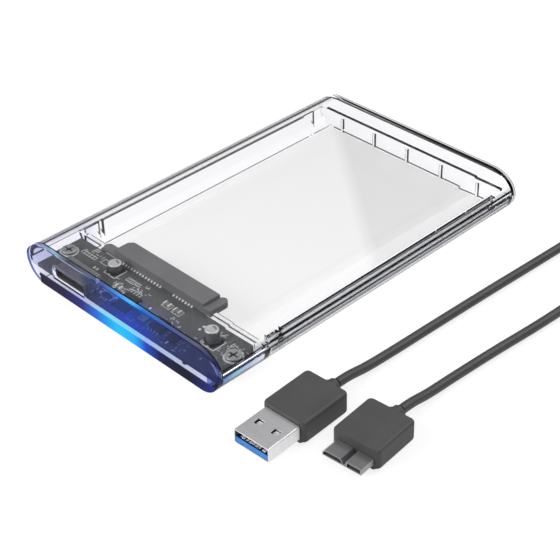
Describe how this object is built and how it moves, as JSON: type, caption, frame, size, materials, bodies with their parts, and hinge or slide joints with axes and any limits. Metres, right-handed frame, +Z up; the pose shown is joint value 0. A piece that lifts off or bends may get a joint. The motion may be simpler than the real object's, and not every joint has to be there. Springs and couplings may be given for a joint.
{
  "type": "external hard disk drive case",
  "caption": "Clear sliding case for a slim drive, with an adapter board inside, a lit port end and a detachable data cable beside it.",
  "frame": {"origin": "on the table, under the middle of the case", "axes": "+Y along the case, away from the port end, the way the cover slides off; +X across it, towards the cable; +Z up"},
  "size_m": [0.1422, 0.1649, 0.0137],
  "materials": {
    "clear_tray": "clear moulded plastic, polished",
    "clear_cover": "clear moulded plastic, polished",
    "board_laminate": "solder mask with printed white outlines",
    "screw_steel": "nickel plated, satin",
    "connector_plastic": "moulded, fine matte",
    "port_steel": "drawn shell, satin",
    "black_insulator": "moulded",
    "chip_plastic": "moulded package, matte",
    "can_metal": "drawn can, satin",
    "chip_ceramic": "fired ceramic with tinned ends",
    "light_lens": "clear epoxy lens, blue light",
    "grip_plastic": "soft moulded plastic, fine matte",
    "plug_steel": "nickel plated shell",
    "blue_insulator": "moulded",
    "cord_jacket": "extruded jacket, satin",
    "tie_band": "woven hook band"
  },
  "bodies": {
    "case_base": {"bottom_tray": "clear_tray", "adapter_board": "board_laminate", "board_screw_left": "screw_steel", "board_screw_right": "screw_steel", "drive_connector": "connector_plastic", "usb_port_shell": "port_steel", "usb_port_tongue": "black_insulator", "bridge_chip": "chip_plastic", "memory_chip": "chip_plastic", "voltage_regulator": "chip_plastic", "power_inductor": "chip_plastic", "timing_crystal": "can_metal", "can_capacitor_left": "can_metal", "can_capacitor_right": "can_metal", "ceramic_capacitor_1": "chip_ceramic", "ceramic_capacitor_2": "chip_ceramic", "ceramic_capacitor_3": "chip_ceramic", "activity_light": "light_lens", "usb_plug_grip": "grip_plastic", "usb_plug_shell": "plug_steel", "usb_plug_insulator": "blue_insulator", "micro_plug_grip": "grip_plastic", "micro_plug_shell": "plug_steel", "micro_plug_tongue_wide": "black_insulator", "micro_plug_tongue_square": "black_insulator", "cable_to_plug": "cord_jacket", "cable_to_micro_plug": "cord_jacket", "cable_coil": "cord_jacket", "cable_tie": "tie_band"},
    "sliding_cover": {"top_cover": "clear_cover"}
  },
  "joints": [
    {"name": "cover_slide", "type": "slide", "parent": "case_base", "child": "sliding_cover", "axis": [0, 1, 0], "range_m": [0, 0.125]}
  ]
}
